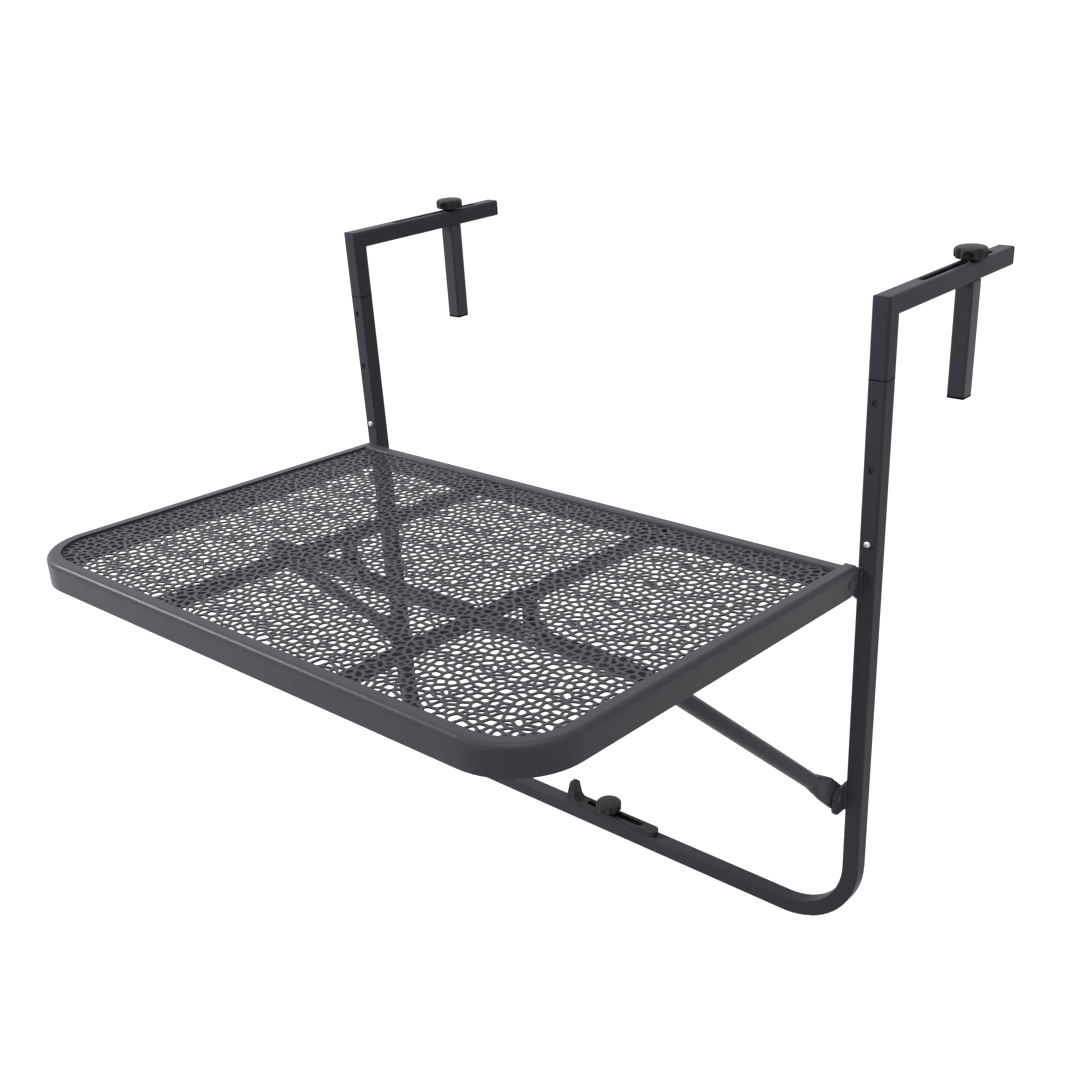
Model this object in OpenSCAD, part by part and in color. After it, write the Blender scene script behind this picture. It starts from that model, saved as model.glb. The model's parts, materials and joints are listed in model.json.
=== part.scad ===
// Folding table that hangs on a balcony railing or on the top of a low wall.
// Sizes are in millimetres. X runs to the right, Y back towards the railing and Z up.
// The origin is midway between the two hooks, on the level where their arms rest
// on the railing and in line with the rear faces of the posts.

/* [Table top] */
// Width of the table top
table_w = 600; // [540:1:660]
// Depth of the table top, from the rear ends of its side rails to its front
table_d = 410; // [360:1:440]
// Rise of the table's front, in degrees
table_lean = 2.3; // [0:0.1:4]
// Width of the rim tube
rim_w = 12.5; // [11:0.5:16]
// Height of the rim tube
rim_h = 24.5; // [23:0.5:28]
// Wall of the rim tube
rim_wall = 1.2; // [0.8:0.1:1.6]
// Rounding of the rim's outer top edge
rim_round = 5; // [3:0.5:8]
// Outer radius of the table's front corners
corner_r = 58; // [40:1:80]
// Rounding of the side rails' lower rear corners
tail_r = 13; // [8:0.5:16]
// Width of the rear rail
rear_w = 12; // [11.5:0.5:14]
// Height of the rear rail
rear_h = 21; // [18:0.5:23]
// From the side rails' rear ends to the rear rail
rear_inset = 4; // [3:0.5:5]

/* [Pierced panel] */
// Thickness of the panel
panel_t = 1.2; // [0.8:0.1:2]
// Depth of the panel below the top of the rim
panel_sink = 2; // [1:0.5:4]
// Mean distance between the cut-outs
cell_pitch = 25; // [22:1:34]
// Width of the webs between the cut-outs
web_w = 5; // [3:0.5:8]
// How far each cut-out strays from an even grid, as a share of the pitch
cell_stray = 0.32; // [0:0.02:0.36]
// Plain border round the panel
panel_border = 2.5; // [2:0.5:6]
// Number of cut-outs along and across the tile that repeats
tile = 6; // [4:2:10]
// Distance between the rows of cut-outs, as a share of the pitch
row_step = 0.92; // [0.86:0.01:1]

/* [Cross bars and stay catches] */
// Width of the cross bars
bar_w = 10; // [8:0.5:14]
// Height of the cross bars
bar_h = 11; // [8:0.5:13]
// Distance between the middles of the two cross bars
bar_spacing = 220; // [160:1:280]
// From the side rails' rear ends to the middle of the catches
catch_pos = 200; // [180:1:220]
// From the top of the rim down to the middle of the caught stay
catch_drop = 41.5; // [41:0.5:46]
// Thickness of the catch brackets
bracket_t = 2.5; // [1.5:0.5:3]
// Width of the catch brackets and clips
catch_w = 16; // [12:1:20]
// Wall of the spring clips
clip_wall = 2.5; // [2:0.1:3]
// Opening of the spring clips, in degrees
clip_open = 130; // [110:5:150]
// Length of the spring clips along the stay
clip_w = 10; // [8:0.5:14]

/* [Frame] */
// Side of the square steel tube
tube = 16; // [15:0.5:18]
// Wall of the square tube
tube_wall = 1.2; // [0.8:0.1:1.6]
// Rounding of the square tube's edges
edge_r = 2; // [1:0.1:2.2]
// From the top of the posts to the underside of the bottom rail
frame_h = 542; // [500:1:600]
// Outer radius of the frame's lower bends
frame_bend = 79; // [50:1:110]
// How far the middle of each post stands outside the table's side
post_offset = 2; // [1:0.1:3]
// From the top of the posts to the upper snap holes
hole_1 = 18; // [14:1:26]
// From the top of the posts to the middle snap holes
hole_2 = 73; // [60:1:90]
// From the top of the posts to the lower snap holes
hole_3 = 136; // [120:1:140]

/* [Hooks] */
// Length of the hooks' stems below their arms
stem_len = 49; // [45:1:80]
// Length of the hooks' arms behind the posts
arm_reach = 194.5; // [180:0.5:220]
// Width of the slots in the arms
slot_w = 6.5; // [6.2:0.1:8]
// From the rear of the posts to the slots
slot_start = 45.5; // [30:0.5:60]
// Length of the slots in the arms
slot_len = 123.5; // [110:0.5:132]
// From the rear of the posts to the middle of the drop tubes
drop_pos = 130; // [100:1:140]
// Length of the drop tubes with their caps
drop_len = 99; // [70:1:130]
// Thickness of the end caps
cap_t = 2; // [1:0.5:4]
// Length of the plugs inside the tubes
plug_len = 10; // [6:1:16]
// Length of the height adjusters inside the stems
insert_up = 40; // [20:1:44]
// Length of the height adjusters below the snap buttons
insert_tail = 15; // [10:1:30]
// Wall of the height adjusters
insert_wall = 1.2; // [0.8:0.1:1.6]

/* [Snap buttons] */
// Diameter of the snap buttons
button_d = 6; // [5:0.1:7]
// How far the snap buttons stand out of the posts
button_out = 3; // [2:0.5:4]
// Thickness of the leaf springs
leaf_t = 0.6; // [0.4:0.1:1]
// Width of the leaf springs
leaf_w = 8; // [6:0.5:9]

/* [Hinge and pins] */
// From the front of the posts to the hinge's axis
hinge_reach = 18.5; // [18:0.5:24]
// From the table's rear end to the hinge's axis
hinge_tail = 10; // [9:0.5:11]
// From the top of the rim down to the hinge's axis
hinge_drop = 13; // [12:0.5:14]
// From the hooks' arms down to the hinge's axis
hinge_depth = 214.7; // [200:0.1:240]
// Thickness of the hinge lugs
hinge_lug_t = 3; // [2:0.1:4]
// Depth of the hinge lugs below the axis, at the posts
hinge_lug_drop = 22; // [14:1:24]
// Diameter of the pins
pin_d = 6; // [5:0.1:6.4]
// Diameter of the pins' heads
head_d = 11; // [8:0.5:12]
// Thickness of the pins' heads
head_t = 1.5; // [0.8:0.1:2]
// Radius of the hinge lugs round their pins
hinge_lug_r = 8; // [7:0.5:9]
// Thickness of the hinge pins' tails inside the rim
tail_t = 1.4; // [1:0.1:1.6]
// How far the tails stand out round the hinge pins
tail_out = 1; // [0.5:0.1:1.5]

/* [Support stay] */
// Diameter of the stay's tube
stay_d = 15; // [14:0.5:18]
// Wall of the stay's tube
stay_wall = 1.2; // [0.8:0.1:1.6]
// Width of the stay between the corners of its top bar
stay_top_w = 472; // [430:1:500]
// Middle radius of the stay's bends
stay_bend = 45; // [30:1:70]
// From the table's hinge down to the stay's pivots
stay_below = 215.3; // [200:0.1:240]
// From the front of the posts to the stay's pivots
stay_reach = 10; // [9:0.5:12]
// Width of the stay's flattened ends
blade_w = 23; // [20:0.5:26]
// Thickness of the stay's flattened ends
blade_t = 3.2; // [2.4:0.1:4]
// Length of the stay's flattened ends, from the pivots
blade_len = 24; // [20:1:30]
// Length over which the ends change from flat to round
taper_len = 16; // [12:1:24]
// Thickness of the stay's lugs
stay_lug_t = 3; // [2:0.1:4]
// Height of the stay's lugs
stay_lug_h = 26; // [22:0.5:32]
// Radius of the stay's lugs at their free corners
stay_lug_r = 9; // [8:0.5:10]

/* [Knobs] */
// Diameter of the knobs
knob_d = 28; // [24:0.5:32]
// Height of the knobs
knob_h = 12; // [11:0.5:16]
// Height at which the knobs reach their full diameter
knob_brim = 3.6; // [3:0.1:5]
// Height at which the knobs' domes start
knob_shoulder = 7.4; // [6:0.1:9]
// Diameter of the knobs' necks
neck_d = 13; // [11:0.5:16]
// Number of finger hollows round a knob
flutes = 10; // [6:1:12]
// Radius of the finger hollows
flute_r = 4; // [3:0.1:5]
// How far the middles of the finger hollows lie outside the knobs
flute_out = 2.2; // [1.5:0.1:3]
// From the tops of the finger hollows to the tops of the knobs
flute_below = 1.4; // [0.8:0.1:2]
// How far the studs reach into the knobs
stud_in = 7.2; // [6:0.1:8]
// Diameter of the knobs' studs on the hooks
stud_d = 6; // [5:0.1:6]
// Diameter of the knob's stud on the bottom rail
foot_stud_d = 5; // [4:0.1:5]

/* [Foot clamp] */
// Length of the foot plate
foot_len = 119; // [100:1:140]
// Width of the foot plate
foot_w = 14.5; // [13:0.1:15]
// Thickness of the foot plate
foot_t = 6; // [4:0.5:8]
// Length of the foot plate's slot
foot_slot_len = 75; // [60:1:80]
// Width of the foot plate's slot
foot_slot_w = 7; // [7:0.1:8]
// From the middle of the frame to the foot clamp's stud
foot_pos = 6.5; // [-30:0.5:30]
// From the stud to the fingered end of the foot plate
foot_ahead = 54; // [45:1:62]
// From the fingered end of the foot plate to its slot
foot_slot_start = 24; // [18:1:30]
// Height of the finger above the bottom rail
finger_h = 28; // [20:1:34]
// Thickness of the finger at its foot
finger_t = 11; // [8:0.5:14]
// Thickness of the finger at its tip
finger_tip = 7; // [5:0.5:8]
// How far the finger's outer face leans in at its tip
finger_lean = 3; // [1:0.5:4]
// Height of the thick foot of the finger
finger_foot = 9.6; // [8:0.1:12]
// Radius of the finger's tip, seen along the bottom rail
finger_round = 4.8; // [3:0.1:6]
// Diameter of the welded nut
nut_d = 10; // [9:0.5:12]
// Height of the welded nut
nut_h = 8; // [5:0.5:10]
// Thickness of the guide's flange on the foot plate
flange_t = 1.2; // [0.8:0.1:2]

/* [Clearances] */
// Clearance round the pins and studs
pin_fit = 0.05; // [0.03:0.01:0.08]
// Clearance round the tubes that slide in the posts
tube_fit = 0.08; // [0.05:0.01:0.1]
// Clearance round the plugs in the tubes
plug_fit = 0.1; // [0.05:0.01:0.2]
// Gap between faces that slide on each other
slip = 0.2; // [0.1:0.05:0.3]
// Gap between the stay's ends and their lugs
side_gap = 0.4; // [0.3:0.1:0.6]
// Gap round the stay in its clips
clip_gap = 0.3; // [0.2:0.05:0.4]
// Gap between the panel and the rim
panel_gap = 0.2; // [0.1:0.05:0.4]

/* [Hidden] */
$fn = 64;
over = 1;
joint_lap = 1;
joint_step = 0.08;
bend_fn = 96;
stray_start = 7;
least_edge = 1;
coat = "#4a4b50";
plastic = "#26272a";
steel = "#b9bcc0";
nylon = "#d9d9d4";

// Places worked out from the sizes
post_x = table_w / 2 + post_offset;
post_side = post_x - tube / 2;
post_top = -stem_len;
frame_low = post_top - frame_h;
foot_level = frame_low + tube;
bore = tube - 2 * tube_wall;
insert_w = bore - 2 * tube_fit;
hinge_y = -tube - hinge_reach;
hinge_z = -hinge_depth;
hinge_lug_x = table_w / 2 - rim_wall - slip - side_gap;
rim_inside = table_w / 2 - rim_w;
rear_face = -rear_inset - rear_w;
panel_top = -panel_sink;
bar_top = panel_top - panel_t;
pin_bore = pin_d / 2 + pin_fit;
stay_y = -tube - stay_reach;
stay_z = hinge_z - stay_below;
blade_x = post_side - stay_lug_t - side_gap - blade_t / 2;

// A point of the table, given by its distance from the side rails' rear ends and the rim's top
function table_point(y, z) = let (a = -table_lean, v = y + hinge_tail, w = z + hinge_drop)
    [hinge_y + v * cos(a) - w * sin(a), hinge_z + v * sin(a) + w * cos(a)];

// The stay reaches from its pivots to the catches
stay_span = table_point(-catch_pos, -catch_drop) - [stay_y, stay_z];
stay_len = norm(stay_span);
stay_tilt = atan2(-stay_span.x, stay_span.y);
stay_half = stay_top_w / 2;
leg_len = norm([blade_x - stay_half, stay_len]);
leg_splay = atan2(blade_x - stay_half, stay_len);
bend_turn = 90 - leg_splay;
bend_reach = stay_bend * tan(bend_turn / 2);

module at_table() {
    translate([0, hinge_y, hinge_z]) rotate([-table_lean, 0, 0])
        translate([0, hinge_tail, hinge_drop]) children();
}

module at_stay() translate([0, stay_y, stay_z]) rotate([90 + stay_tilt, 0, 0]) children();

module both_sides() {
    children();
    mirror([1, 0, 0]) children();
}

// A flat shape drawn in Y and Z, made solid from x1 to x2
module across(x1, x2) translate([x1, 0, 0]) rotate([90, 0, 90]) linear_extrude(x2 - x1) children();

module pin_along_x(r, x1, x2) translate([x1, 0, 0]) rotate([0, 90, 0]) cylinder(r = r, h = x2 - x1);

module rounded_box(w, h, r) {
    square([w - 2 * r, h], center = true);
    square([w, h - 2 * r], center = true);
    for (x = [-1, 1], y = [-1, 1]) translate([x * (w / 2 - r), y * (h / 2 - r)]) circle(r);
}

module tube_section() difference() {
    rounded_box(tube, tube, edge_r);
    square(bore, center = true);
}

module plug_section() square(bore - 2 * plug_fit, center = true);

// A slot with round ends, from y = 0 to y = len
module slot(w, len) {
    translate([-w / 2, w / 2]) square([w, len - w]);
    for (y = [w / 2, len - w / 2]) translate([0, y]) circle(d = w);
}

// The U-shaped frame: two posts, two bends and the bottom rail in one length of tube
module frame_tube() color(coat) {
    bend_mid = frame_bend - tube / 2;
    rail_half = post_x - bend_mid;
    hole_r = button_d / 2 + 2 * pin_fit;
    difference() {
        union() {
            both_sides() {
                translate([post_x, -tube / 2, frame_low + frame_bend])
                    linear_extrude(frame_h - frame_bend) tube_section();
                translate([rail_half, -tube / 2, frame_low + frame_bend]) rotate([90, 90, 0])
                    rotate_extrude(angle = 90, $fn = bend_fn) translate([bend_mid, 0]) tube_section();
            }
            translate([-rail_half, -tube / 2, frame_low + tube / 2]) rotate([90, 0, 90])
                linear_extrude(2 * rail_half) tube_section();
        }
        both_sides() for (down = [hole_1, hole_2, hole_3])
            translate([post_x, -tube + tube_wall + over, post_top - down]) rotate([90, 0, 0])
                cylinder(r = hole_r, h = tube_wall + 2 * over);
        translate([foot_pos, -tube / 2, foot_level - tube_wall - over])
            cylinder(d = foot_stud_d, h = tube_wall + 2 * over);
    }
}

// The lugs that carry the table, welded to the fronts of the posts
module hinge_lugs() color(coat) both_sides() {
    across(hinge_lug_x - hinge_lug_t, hinge_lug_x) difference() {
        union() {
            translate([hinge_y, hinge_z]) circle(hinge_lug_r);
            polygon([[hinge_y, hinge_z + hinge_lug_r], [-tube, hinge_z + hinge_lug_r],
                [-tube, hinge_z - hinge_lug_drop], [hinge_y, hinge_z - hinge_lug_r]]);
        }
        translate([hinge_y, hinge_z]) circle(pin_bore);
    }
}

// Painted blind rivets through the side rails, with their tails inside the rear rail
module hinge_pins() color(coat) both_sides() translate([0, hinge_y, hinge_z]) {
    inner = rim_inside - slip - tail_t;
    pin_along_x(pin_d / 2, inner, table_w / 2 + slip + head_t / 2);
    pin_along_x(pin_d / 2 + tail_out, inner, inner + tail_t);
    rivet_head(table_w / 2 + slip);
}

// A low round head that stands on the plane x = x1 and faces outwards
module rivet_head(x1) translate([x1, 0, 0]) rotate([0, 90, 0]) rotate_extrude() intersection() {
    square([head_d / 2, head_t]);
    translate([0, head_t - head_round()]) circle(head_round(), $fn = 128);
}

function head_round() = (pow(head_d / 2, 2) + pow(head_t, 2)) / (2 * head_t);

// The lugs that carry the stay, welded to the inner sides of the posts
module stay_lugs() color(coat) both_sides() across(post_side - stay_lug_t, post_side) {
    straight = stay_lug_h - 2 * stay_lug_r;
    difference() {
        union() {
            translate([stay_y, stay_z]) circle(stay_lug_r);
            translate([stay_y - stay_lug_r, stay_z - straight]) square([2 * stay_lug_r, straight]);
            translate([stay_y, stay_z - straight - stay_lug_r]) square([-stay_y - tube / 2, stay_lug_h]);
            translate([stay_y, stay_z - straight]) circle(stay_lug_r);
        }
        translate([stay_y, stay_z]) circle(pin_bore);
    }
}

// Painted rivets through the stay's ends and their lugs
module stay_pins() color(coat) both_sides() translate([0, stay_y, stay_z]) {
    inner = blade_x - blade_t / 2 - slip;
    pin_along_x(pin_d / 2, inner, post_side + slip);
    rivet_head(post_side + slip);
    translate([2 * inner, 0, 0]) mirror([1, 0, 0]) rivet_head(inner);
}

// The welded nut and stud that carry the foot clamp
module foot_stud() color(steel) translate([foot_pos, -tube / 2, 0]) {
    stud_top = foot_level + foot_t + 2 * slip + flange_t + stud_in;
    translate([0, 0, foot_level - tube_wall - nut_h]) cylinder(d = nut_d, h = nut_h);
    translate([0, 0, foot_level - nut_h])
        cylinder(d = foot_stud_d - 2 * pin_fit, h = stud_top - foot_level + nut_h);
}

// The rim's outline: x runs inwards from the outer face and y down from the top
module rim_outline(w, h, r) {
    translate([r, -r]) circle(r);
    translate([0, -h]) square([w, h - r]);
    translate([r, -h]) square([w - r, h]);
}

module rim_section() difference() {
    rim_outline(rim_w, rim_h, rim_round);
    translate([rim_wall, -rim_wall])
        rim_outline(rim_w - 2 * rim_wall, rim_h - 2 * rim_wall, rim_round - rim_wall);
}

// The rim: two side rails, two bent corners and the front rail in one length of tube
module table_rim() color(coat) at_table() {
    side_len = table_d - corner_r;
    front_half = table_w / 2 - corner_r;
    lug_slot_w = hinge_lug_t + 4 * slip;
    lug_mid = hinge_lug_x - hinge_lug_t / 2;
    lug_slot_len = hinge_tail + hinge_lug_drop;
    difference() {
        union() {
            both_sides() {
                translate([-table_w / 2, 0, 0]) rotate([90, 0, 0]) linear_extrude(side_len) rim_section();
                translate([-front_half, -side_len, 0]) rotate([0, 0, 180])
                    rotate_extrude(angle = 90, $fn = bend_fn) translate([corner_r, 0])
                        mirror([1, 0, 0]) rim_section();
            }
            translate([-front_half, -table_d, 0]) rotate([90, 0, 90])
                linear_extrude(2 * front_half) rim_section();
        }
        both_sides() {
            translate([0, -hinge_tail, -hinge_drop])
                pin_along_x(pin_bore, rim_inside - over, table_w / 2 + over);
            translate([lug_mid - lug_slot_w / 2, -lug_slot_len, -rim_h - over])
                cube([lug_slot_w, lug_slot_len + over, rim_wall + 2 * over]);
            across(rim_inside - over, table_w / 2 + over) difference() {
                translate([-tail_r, -rim_h - over]) square([tail_r + over, tail_r + over]);
                translate([-tail_r, -rim_h + tail_r]) circle(tail_r);
            }
        }
    }
}

module rear_rail() color(coat) at_table() across(-rim_inside, rim_inside)
    translate([-rear_inset - rear_w / 2, -rear_h / 2]) difference() {
        rounded_box(rear_w, rear_h, edge_r);
        square([rear_w - 2 * rim_wall, rear_h - 2 * rim_wall], center = true);
    }

// The pierced panel. Its cut-outs are the cells of a pebble pattern: each cell holds the
// points that are nearer to its own seed than to any other, drawn in by half a web. The
// seeds stray from an even grid in a tile that repeats, as on a rolled and punched sheet.
panel_half = rim_inside - panel_gap;
panel_rear = rear_face - panel_gap;
panel_front = -table_d + rim_w + panel_gap;
panel_corner = corner_r - rim_w - panel_gap;
stray = rands(-cell_stray, cell_stray, 2 * tile * tile, stray_start);

function wrap(i) = i - tile * floor(i / tile);

function seed(i, j) = let (k = 2 * (wrap(i) + tile * wrap(j)), shift = wrap(j) % 2 / 2)
    cell_pitch * [i + shift + stray[k], row_step * (j + stray[k + 1])];

// The part of a convex outline that lies within the distance c along the direction n
function trim(outline, n, c) = [for (i = [0 : len(outline) - 1])
    let (a = outline[i], b = outline[(i + 1) % len(outline)], da = a * n - c, db = b * n - c)
        each concat(da <= 0 ? [a] : [], da * db < 0 ? [a + (b - a) * da / (da - db)] : [])];

function trim_all(outline, cuts, k = 0) = k >= len(cuts) || len(outline) < 3 ? outline
    : trim_all(trim(outline, cuts[k][0], cuts[k][1]), cuts, k + 1);

// The cuts that part a seed's cell from the cells round it
function cuts_between(i, j) = let (s = seed(i, j))
    [for (u = [-2 : 2], v = [-2 : 2]) if (u != 0 || v != 0)
        let (t = seed(i + u, j + v), n = (t - s) / norm(t - s)) [n, n * (s + t) / 2 - web_w / 2]];

// The cut that keeps a cell inside the panel's rounded front corner
function corner_cut(s) = let (hub = [sign(s.x) * (panel_half - panel_corner), panel_front + panel_corner],
    d = s - hub, n = d / norm(d), sag = panel_border / 2)
        abs(s.x) > abs(hub.x) && s.y < hub.y ? [[n, n * hub + panel_corner - panel_border - sag]] : [];

// Corners that lie closer together than the least edge are one corner
function joined(outline) = [for (i = [0 : len(outline) - 1])
    if (norm(outline[i] - outline[(i + 1) % len(outline)]) > least_edge) outline[i]];

function twice_area(p) = len(p) < 3 ? 0
    : [for (i = [0 : len(p) - 1]) cross(p[i], p[(i + 1) % len(p)])] * [for (q = p) 1];

field_half = panel_half - panel_border;
field_front = panel_front + panel_border;
field_rear = panel_rear - panel_border;
panel_field = [[-field_half, field_front], [field_half, field_front],
    [field_half, field_rear], [-field_half, field_rear]];

function cell(i, j) = joined(trim_all(panel_field, concat(cuts_between(i, j), corner_cut(seed(i, j)))));

cell_cols = ceil(panel_half / cell_pitch) + 1;
cell_rows = ceil(table_d / cell_pitch / row_step) + 1;
least_side = cell_pitch / 7;
cells = [for (i = [-cell_cols : cell_cols], j = [-cell_rows : 0])
    let (c = cell(i, j)) if (twice_area(c) > 2 * pow(least_side, 2)) c];

module panel_sheet() {
    translate([-panel_half, panel_front + panel_corner])
        square([2 * panel_half, panel_rear - panel_front - panel_corner]);
    translate([-panel_half + panel_corner, panel_front])
        square([2 * (panel_half - panel_corner), panel_corner + over]);
    for (side = [-1, 1]) translate([side * (panel_half - panel_corner), panel_front + panel_corner])
        circle(panel_corner, $fn = bend_fn);
}

module pierced_panel() color(coat) at_table() translate([0, 0, bar_top])
    linear_extrude(panel_t) difference() {
        panel_sheet();
        for (c = cells) polygon(c);
    }

module cross_bar(x) color(coat) at_table() {
    bar_len = rear_face + table_d - rim_w;
    translate([x, rear_face, bar_top - bar_h / 2]) rotate([90, 0, 0]) linear_extrude(bar_len) difference() {
        rounded_box(bar_w, bar_h, edge_r / 2);
        square([bar_w - 2 * rim_wall, bar_h - 2 * rim_wall], center = true);
    }
}

// Angle brackets on the cross bars' right sides. The spring clips hang from them.
clip_r = stay_d / 2 + clip_gap;
bracket_low = -catch_drop + clip_r + clip_wall;
bracket_top = bar_top - bar_h / 4;

module at_catches() for (side = [-1, 1])
    translate([side * bar_spacing / 2 + bar_w / 2, -catch_pos, 0]) children();

module catch_brackets() color(coat) at_table() at_catches() translate([0, -catch_w / 2, bracket_low]) {
    cube([bracket_t, catch_w, bracket_top - bracket_low]);
    cube([bracket_t + clip_w, catch_w, bracket_t]);
}

// Open rings of nylon that grip the stay's top bar from above
module stay_clips() color(nylon) at_table() at_catches() across(bracket_t, bracket_t + clip_w)
    translate([0, -catch_drop]) {
        mouth = 2 * (clip_r + clip_wall);
        difference() {
            union() {
                circle(clip_r + clip_wall);
                translate([-catch_w / 2, 0]) square([catch_w, clip_r + clip_wall]);
            }
            circle(clip_r);
            polygon([[0, 0], for (side = [-1, 1]) mouth * [side * sin(clip_open / 2), -cos(clip_open / 2)]]);
            translate([-catch_w, -mouth]) square([2 * catch_w, mouth - clip_r * sin(90 - clip_open / 2)]);
        }
    }

// The stay's tube: two legs, two bends and the top bar. The straight lengths are a hair
// thinner than the bends, and run a little way into them, so that the joints are sound.
module stay_run(r) {
    leg_start = blade_len + taper_len;
    leg_end = leg_len - bend_reach;
    bar_half = stay_half - bend_reach + joint_lap;
    straight_r = r - joint_step;
    both_sides() translate([blade_x, 0, 0]) rotate([0, 0, leg_splay]) {
        translate([0, leg_start, 0]) rotate([-90, 0, 0])
            cylinder(r = straight_r, h = leg_end + joint_lap - leg_start);
        translate([-stay_bend, leg_end, 0])
            rotate_extrude(angle = bend_turn, $fn = bend_fn) translate([stay_bend, 0]) circle(r);
    }
    translate([0, stay_len, 0]) pin_along_x(straight_r, -bar_half, bar_half);
}

// A stay end: a flat blade with a round tip and a pin hole, widening into the tube
module stay_blade() {
    difference() {
        translate([blade_x - blade_t / 2, 0, 0]) {
            translate([0, 0, -blade_w / 2]) cube([blade_t, blade_len, blade_w]);
            pin_along_x(blade_w / 2, 0, blade_t);
        }
        pin_along_x(pin_bore, blade_x - blade_t, blade_x + blade_t);
    }
    hull($fn = 32) {
        translate([blade_x - blade_t / 2, blade_len - over, -blade_w / 2]) cube([blade_t, over, blade_w]);
        translate([blade_x, 0, 0]) rotate([0, 0, leg_splay]) translate([0, blade_len + taper_len, 0])
            rotate([-90, 0, 0]) cylinder(d = stay_d + 4 * joint_step, h = over, $fn = 32);
    }
}

module support_stay() color(coat) at_stay() {
    difference() {
        stay_run(stay_d / 2);
        stay_run(stay_d / 2 - stay_wall);
    }
    both_sides() stay_blade();
}

// Half spaces on either side of the mitre between a hook's stem and its arm
module mitre(side) rotate([-45, 0, 0]) translate([-tube, -2 * tube, side > 0 ? 0 : -2 * tube])
    cube([2 * tube, 4 * tube, 2 * tube]);

module hook() color(coat) translate([post_x, 0, 0]) {
    difference() {
        translate([0, -tube / 2, -stem_len]) linear_extrude(stem_len + tube) tube_section();
        mitre(1);
    }
    difference() {
        translate([0, -tube, tube / 2]) rotate([-90, 0, 0]) linear_extrude(tube + arm_reach) tube_section();
        mitre(-1);
        translate([0, slot_start, -over]) linear_extrude(tube + 2 * over) slot(slot_w, slot_len);
    }
}

// The height adjuster: a tube that slides in the post and is fixed in the hook's stem
module insert() color(coat) translate([post_x, -tube / 2, 0]) {
    insert_low = post_top - hole_3 - insert_tail;
    difference() {
        translate([0, 0, insert_low]) linear_extrude(post_top + insert_up - insert_low) difference() {
            square(insert_w, center = true);
            square(insert_w - 2 * insert_wall, center = true);
        }
        translate([0, 0, post_top - hole_3]) rotate([90, 0, 0])
            cylinder(r = button_d / 2 + pin_fit, h = tube);
    }
}

// A flat strip from one point to another, with a round end
module strip(from, to, t) {
    along = to - from;
    translate(from) rotate(atan2(along.y, along.x)) translate([0, -t / 2]) square([norm(along), t]);
    translate(to) circle(d = t, $fn = 24);
}

// The snap button on its leaf spring, folded to a V inside the height adjuster
module snap_spring() color(steel) translate([post_x, -tube / 2, post_top - hole_3]) {
    front = -insert_w / 2 + insert_wall + slip + leaf_t / 2;
    fold = [front, leaf_t + slip - insert_tail];
    leaf_top = 2 * button_d;
    reach = front + tube / 2 + button_out;
    across(-leaf_w / 2, leaf_w / 2) {
        strip([front, leaf_top], fold, leaf_t);
        strip([-front, leaf_top], fold, leaf_t);
    }
    translate([0, front, 0]) rotate([90, 0, 0]) rotate_extrude() {
        square([button_d / 2, reach - button_d / 2]);
        intersection() {
            square([button_d / 2, reach]);
            translate([0, reach - button_d / 2]) circle(d = button_d);
        }
    }
}

// A plastic cap: a lid on the tube's end and a plug inside it, drawn with the lid upwards
module tube_cap() {
    linear_extrude(cap_t) rounded_box(tube, tube, edge_r);
    translate([0, 0, -plug_len]) linear_extrude(plug_len) plug_section();
}

module arm_cap() color(plastic) translate([post_x, arm_reach, tube / 2]) rotate([-90, 0, 0]) tube_cap();

module drop_tube() color(coat) translate([post_x, drop_pos, cap_t - drop_len])
    linear_extrude(drop_len - cap_t - slip) tube_section();

module drop_cap() color(plastic) translate([post_x, drop_pos, cap_t - drop_len])
    rotate([180, 0, 0]) tube_cap();

// The stud that clamps the drop tube, standing on a plug in the tube's top
module drop_stud() color(steel) translate([post_x, drop_pos, 0]) {
    translate([0, 0, -plug_len]) linear_extrude(plug_len - slip) plug_section();
    translate([0, 0, -plug_len]) cylinder(d = stud_d, h = plug_len + tube + slip + stud_in);
}

// A domed knob with finger hollows, drawn standing on its neck
module knob(stud) color(plastic) {
    r = knob_d / 2;
    dome = knob_h - knob_shoulder;
    difference() {
        rotate_extrude() {
            square([neck_d / 2, knob_shoulder]);
            polygon([[0, knob_brim / 2], [neck_d / 2, knob_brim / 2], [r, knob_brim],
                [r, knob_shoulder], [0, knob_shoulder]]);
            square([r - dome, knob_h]);
            translate([r - dome, knob_shoulder]) circle(dome);
        }
        for (k = [0 : flutes - 1]) rotate([0, 0, k * 360 / flutes])
            translate([r + flute_out, 0, -over]) cylinder(r = flute_r, h = knob_h - flute_below + over);
        translate([0, 0, -over]) cylinder(d = stud + 2 * pin_fit, h = over + stud_in + slip);
    }
}

module arm_knob() translate([post_x, drop_pos, tube + slip]) knob(stud_d);

// The bush that turns on the foot stud and guides the foot plate by its slot
module foot_guide() color(plastic) translate([foot_pos, -tube / 2, foot_level]) difference() {
    union() {
        translate([0, 0, slip]) cylinder(d = foot_slot_w - 2 * pin_fit, h = foot_t);
        translate([0, 0, foot_t + slip]) cylinder(d = foot_w, h = flange_t);
    }
    translate([0, 0, -over]) cylinder(d = foot_stud_d, h = foot_t + flange_t + 2 * over);
}

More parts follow.
